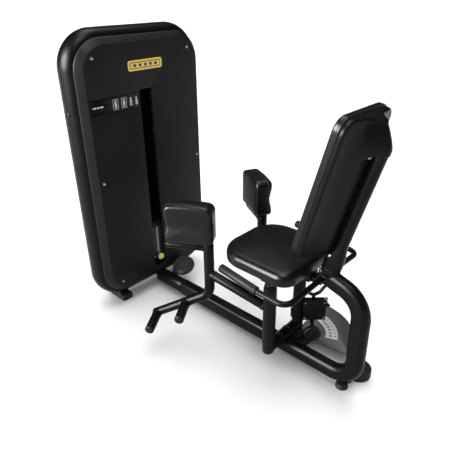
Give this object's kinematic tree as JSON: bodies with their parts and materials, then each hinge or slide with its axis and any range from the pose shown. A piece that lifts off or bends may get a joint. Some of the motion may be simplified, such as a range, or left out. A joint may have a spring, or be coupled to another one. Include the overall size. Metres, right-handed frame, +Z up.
{
  "type": "seated hip adduction machine",
  "caption": "Selectorised seated hip adduction machine: tall shielded weight tower, floor beam, adjustable leg levers with knee pads, seat, raked backrest and side handles.",
  "frame": {"origin": "middle of the footprint, on the floor", "axes": "+Z up, +Y from the seat to the weight tower, +X to the seated user's right"},
  "size_m": [0.9496, 1.5577, 1.4799],
  "materials": {
    "frame_paint": "satin black powder coat",
    "textured_shell": "fine-grained black moulding",
    "gloss_placard": "gloss black",
    "upholstery": "black synthetic leather, soft sheen",
    "rubber": "matt black",
    "bright_steel": "polished",
    "cast_iron": "dark grey, satin",
    "yellow_plastic": "bright yellow",
    "coated_cable": "black coated cable"
  },
  "bodies": {
    "frame": {"seat_frame": "frame_paint", "rear_frame": "frame_paint", "main_beam": "frame_paint", "beam_sleeve": "frame_paint", "tower_surround": "frame_paint", "top_beam": "frame_paint", "stack_base": "frame_paint", "back_tube": "frame_paint", "handlebar_left": "frame_paint", "handlebar_right": "frame_paint", "front_shield": "textured_shell", "rear_shield": "textured_shell", "back_shell": "textured_shell", "pulley_cover": "textured_shell", "placard": "gloss_placard", "seat_cushion": "upholstery", "back_cushion": "upholstery", "rear_foot": "rubber", "stabiliser_foot": "rubber", "tower_foot_left": "rubber", "tower_foot_right": "rubber", "stack_bumper_left": "rubber", "stack_bumper_right": "rubber", "grip_left": "rubber", "grip_right": "rubber", "guide_rod_left": "bright_steel", "guide_rod_right": "bright_steel", "badge": "yellow_plastic", "drive_cable": "coated_cable"},
    "weight_stack": {"weight_plate_pinned": "cast_iron", "weight_plates_upper": "cast_iron", "stack_top_plate": "frame_paint", "selector_rod": "bright_steel", "stack_cable": "coated_cable"},
    "selector_pin": {"selector_pin": "bright_steel", "selector_knob": "yellow_plastic"},
    "top_pulley": {"top_pulley": "rubber"},
    "low_pulley": {"low_pulley": "rubber"},
    "drive_quadrant": {"sector_plate": "frame_paint", "start_scale": "bright_steel", "cable_drum": "cast_iron", "right_pivot_shaft": "bright_steel"},
    "right_lever": {"right_lever_arm": "frame_paint", "right_leg_post": "frame_paint", "right_rear_peg": "frame_paint", "right_pad_bracket": "frame_paint", "right_knee_pad": "upholstery", "selector_housing": "frame_paint", "selector_cover": "textured_shell"},
    "lock_pin": {"lock_pin": "bright_steel"},
    "selector_handle": {"selector_handle": "frame_paint"},
    "guide_roller": {"guide_roller": "rubber"},
    "left_shaft": {"left_pivot_shaft": "bright_steel"},
    "left_lever": {"left_lever_arm": "frame_paint", "left_leg_post": "frame_paint", "left_rear_peg": "frame_paint", "left_pad_bracket": "frame_paint", "left_knee_pad": "upholstery"}
  },
  "joints": [
    {"name": "stack_lift", "type": "slide", "parent": "frame", "child": "weight_stack", "axis": [0, 0, 1], "range_m": [0, 0.1], "deforming": ["stack_cable"]},
    {"name": "selector_pin_pull", "type": "slide", "parent": "weight_stack", "child": "selector_pin", "axis": [0, -1, 0], "range_m": [0, 0.1]},
    {"name": "top_pulley_spin", "type": "hinge", "parent": "frame", "child": "top_pulley", "pos_m": [0.02, 0.6735, 1.3], "axis": [0.8874, -0.461, 0], "range_deg": [-180, 180]},
    {"name": "low_pulley_spin", "type": "hinge", "parent": "frame", "child": "low_pulley", "pos_m": [0.04, 0.671, 0.078], "axis": [1, 0, 0], "range_deg": [-180, 180]},
    {"name": "drive_turn", "type": "hinge", "parent": "frame", "child": "drive_quadrant", "pos_m": [0.119, -0.353, 0.067], "axis": [0, 0, 1], "range_deg": [0, 25]},
    {"name": "start_position", "type": "hinge", "parent": "drive_quadrant", "child": "right_lever", "pos_m": [0.119, -0.353, 0.3], "axis": [0, 0, 1], "range_deg": [-30, 0]},
    {"name": "lock_pin_lift", "type": "slide", "parent": "right_lever", "child": "lock_pin", "axis": [0, 0, 1], "range_m": [0, 0.012], "stiffness_N_per_m": 800, "springref_m": -0.004},
    {"name": "release_handle_tilt", "type": "hinge", "parent": "right_lever", "child": "selector_handle", "pos_m": [0.14719, -0.41696, 0.29], "axis": [0.7314, 0.682, 0], "range_deg": [0, 15]},
    {"name": "roller_spin", "type": "hinge", "parent": "right_lever", "child": "guide_roller", "pos_m": [0.11145, -0.44755, 0.1013], "axis": [0.7314, 0.682, 0], "continuous": true},
    {"name": "left_shaft_turn", "type": "hinge", "parent": "frame", "child": "left_shaft", "pos_m": [-0.119, -0.353, 0.2], "axis": [0, 0, 1], "range_deg": [-25, 0]},
    {"name": "left_start_position", "type": "hinge", "parent": "left_shaft", "child": "left_lever", "pos_m": [-0.119, -0.353, 0.3], "axis": [0, 0, 1], "range_deg": [0, 30]}
  ],
  "couplings": [
    {"joint": "stack_lift", "follows": "drive_turn", "m_per_rad": 0.079},
    {"joint": "top_pulley_spin", "follows": "drive_turn", "ratio": -1.8209},
    {"joint": "low_pulley_spin", "follows": "drive_turn", "ratio": 1.9268},
    {"joint": "left_shaft_turn", "follows": "drive_turn", "ratio": -1},
    {"joint": "left_start_position", "follows": "start_position", "ratio": -1}
  ]
}
